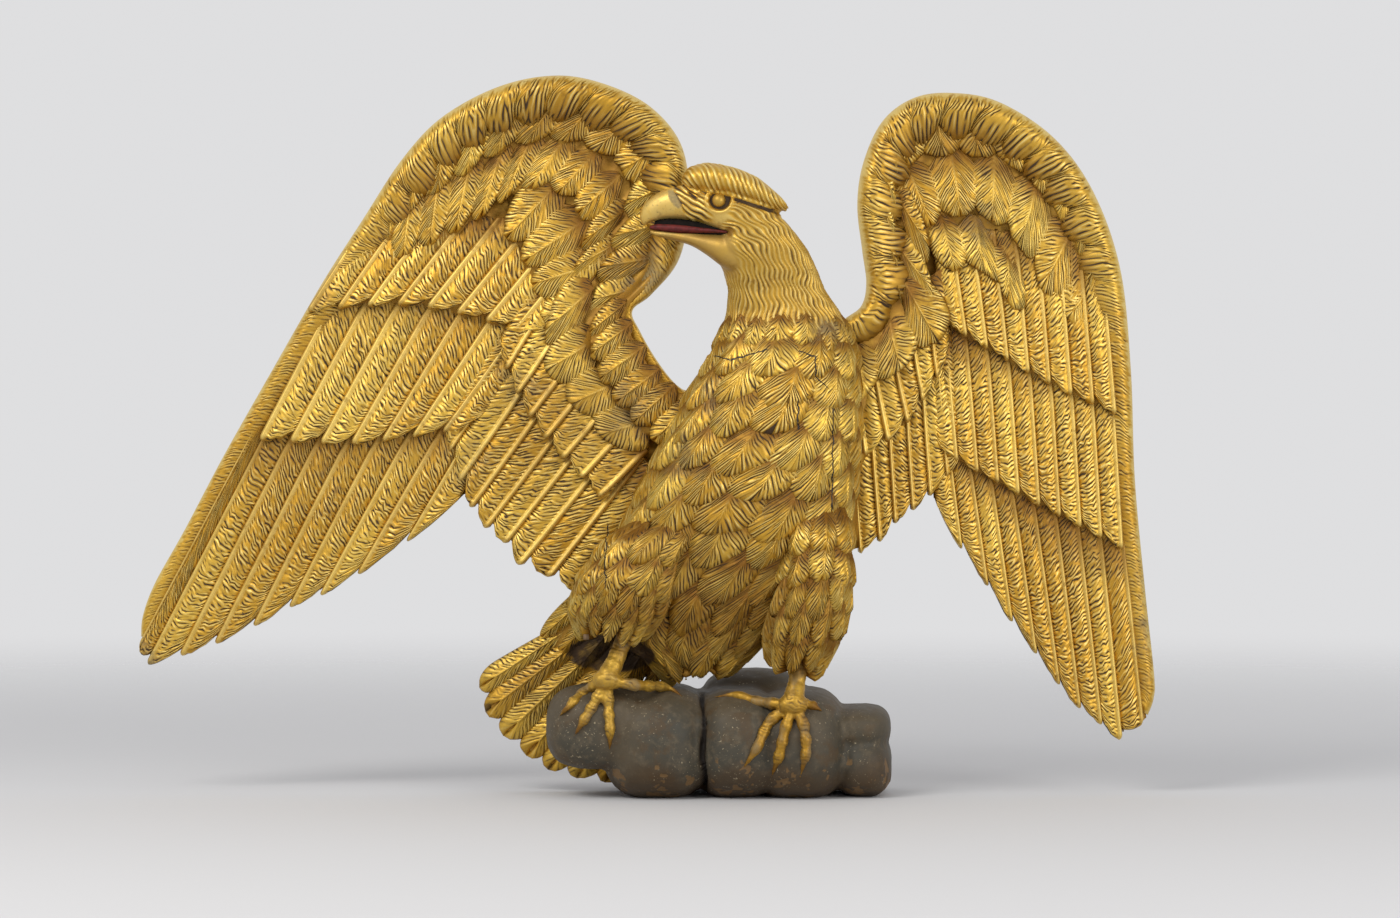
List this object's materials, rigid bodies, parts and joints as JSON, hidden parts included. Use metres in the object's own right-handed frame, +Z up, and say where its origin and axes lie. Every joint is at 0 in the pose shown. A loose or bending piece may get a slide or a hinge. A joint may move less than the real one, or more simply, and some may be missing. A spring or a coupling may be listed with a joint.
{
  "type": "carved and gilded eagle",
  "caption": "Large eagle carved in pine and gilded, wings spread and head turned, with cast legs gripping a dark painted rock with a flat underside.",
  "frame": {"origin": "on the floor under the middle of the work's box, at the level of the rock's underside", "axes": "+X to the viewer's right along the wingspan, +Y to the back, +Z up"},
  "size_m": [1.7157, 0.38, 1.2085],
  "materials": {
    "gilded_wood": "old gold leaf over ochre ground on carved pine, bright on the ridges, brown and grey where it is worn or dirty",
    "gilded_iron": "worn gilding on cast iron, brown where it has rubbed through",
    "painted_rock": "dull dark olive grey paint on carved wood, chipped and brown along its lower edges"
  },
  "bodies": {
    "root": {"eagle": "gilded_wood", "leg_left": "gilded_iron", "leg_right": "gilded_iron", "rock_base": "painted_rock"}
  },
  "joints": []
}
